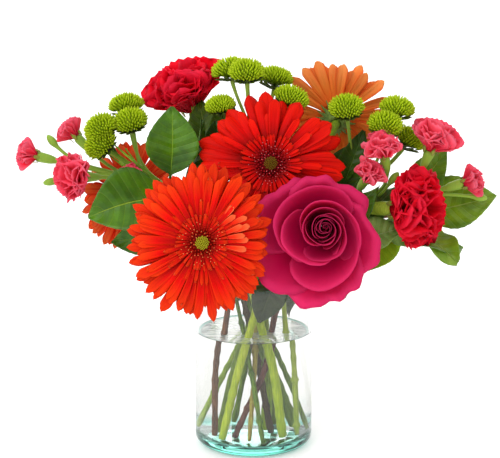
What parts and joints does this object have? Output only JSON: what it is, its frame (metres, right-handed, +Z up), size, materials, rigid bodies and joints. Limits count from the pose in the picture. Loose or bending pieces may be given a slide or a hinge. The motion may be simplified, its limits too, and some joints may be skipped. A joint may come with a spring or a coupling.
{
  "type": "bouquet of cut flowers in a vase",
  "caption": "Hand-tied bouquet of gerberas, rose, carnations, button poms and leaves, standing in a clear glass cylinder vase of water.",
  "frame": {"origin": "middle of the vase's flat underside, on the surface it stands on", "axes": "+Z up the vase, +X to the right of the bouquet seen from its front, front facing -Y"},
  "size_m": [0.4134, 0.1873, 0.3356],
  "materials": {
    "vase_glass": "clear, polished, faint aqua in the thick base",
    "water": "clear still water",
    "gerbera_disc": "dark florets with pale tips round a green eye",
    "orange_red_petal": "satin petal, fine lengthwise veins",
    "scarlet_petal": "satin petal, fine lengthwise veins",
    "striped_petal": "red petal with yellow-orange stripes on its underside",
    "peach_petal": "peach petal, darker orange edges",
    "rose_petal": "velvety hot pink, crimson in the heart",
    "carnation_petal": "matt red, toothed edges",
    "coral_petal": "matt coral pink, toothed edges",
    "green_pom": "matt lime green florets",
    "green_stem": "smooth, slightly glossy",
    "woody_twig": "rough bark",
    "leaf": "leathery, glossy upper face with pale veins"
  },
  "bodies": {
    "root": {"vase": "vase_glass", "water": "water", "gerbera_front_rays": "orange_red_petal", "gerbera_front_disc": "gerbera_disc", "gerbera_front_stem": "green_stem", "gerbera_upper_rays": "scarlet_petal", "gerbera_upper_disc": "gerbera_disc", "gerbera_upper_stem": "green_stem", "gerbera_peach_rays": "peach_petal", "gerbera_peach_disc": "gerbera_disc", "gerbera_peach_stem": "green_stem", "gerbera_left_rays": "striped_petal", "gerbera_left_disc": "gerbera_disc", "gerbera_left_stem": "green_stem", "rose_outer_petals": "rose_petal", "rose_inner_petals": "rose_petal", "rose_heart": "rose_petal", "rose_stem": "green_stem", "carnation_back_bloom": "carnation_petal", "carnation_back_stem": "green_stem", "carnation_right_bloom": "carnation_petal", "carnation_right_stem": "green_stem", "spray_left_bloom_1": "coral_petal", "spray_left_bloom_2": "coral_petal", "spray_left_bloom_3": "coral_petal", "spray_left_bloom_4": "coral_petal", "spray_left_stem": "green_stem", "spray_right_bloom_1": "coral_petal", "spray_right_bloom_2": "coral_petal", "spray_right_bloom_3": "coral_petal", "spray_right_bloom_4": "coral_petal", "spray_right_stem": "green_stem", "poms_left_1": "green_pom", "poms_left_2": "green_pom", "poms_left_3": "green_pom", "poms_left_stem": "green_stem", "poms_centre_1": "green_pom", "poms_centre_2": "green_pom", "poms_centre_3": "green_pom", "poms_centre_4": "green_pom", "poms_centre_stem": "green_stem", "poms_right_1": "green_pom", "poms_right_2": "green_pom", "poms_right_3": "green_pom", "poms_right_4": "green_pom", "poms_right_stem": "green_stem", "twig_left": "woody_twig", "twig_centre": "woody_twig", "twig_right": "woody_twig", "leaf_upright_left": "leaf", "leaf_broad_left": "leaf", "leaf_rolled_left": "leaf", "leaf_dark_centre": "leaf", "leaf_in_neck": "leaf", "leaf_upper_right": "leaf", "leaf_far_right": "leaf", "leaf_wavy_right": "leaf", "leaf_light_right": "leaf", "leaf_inner_right": "leaf", "leaf_low_right": "leaf"}
  },
  "joints": []
}
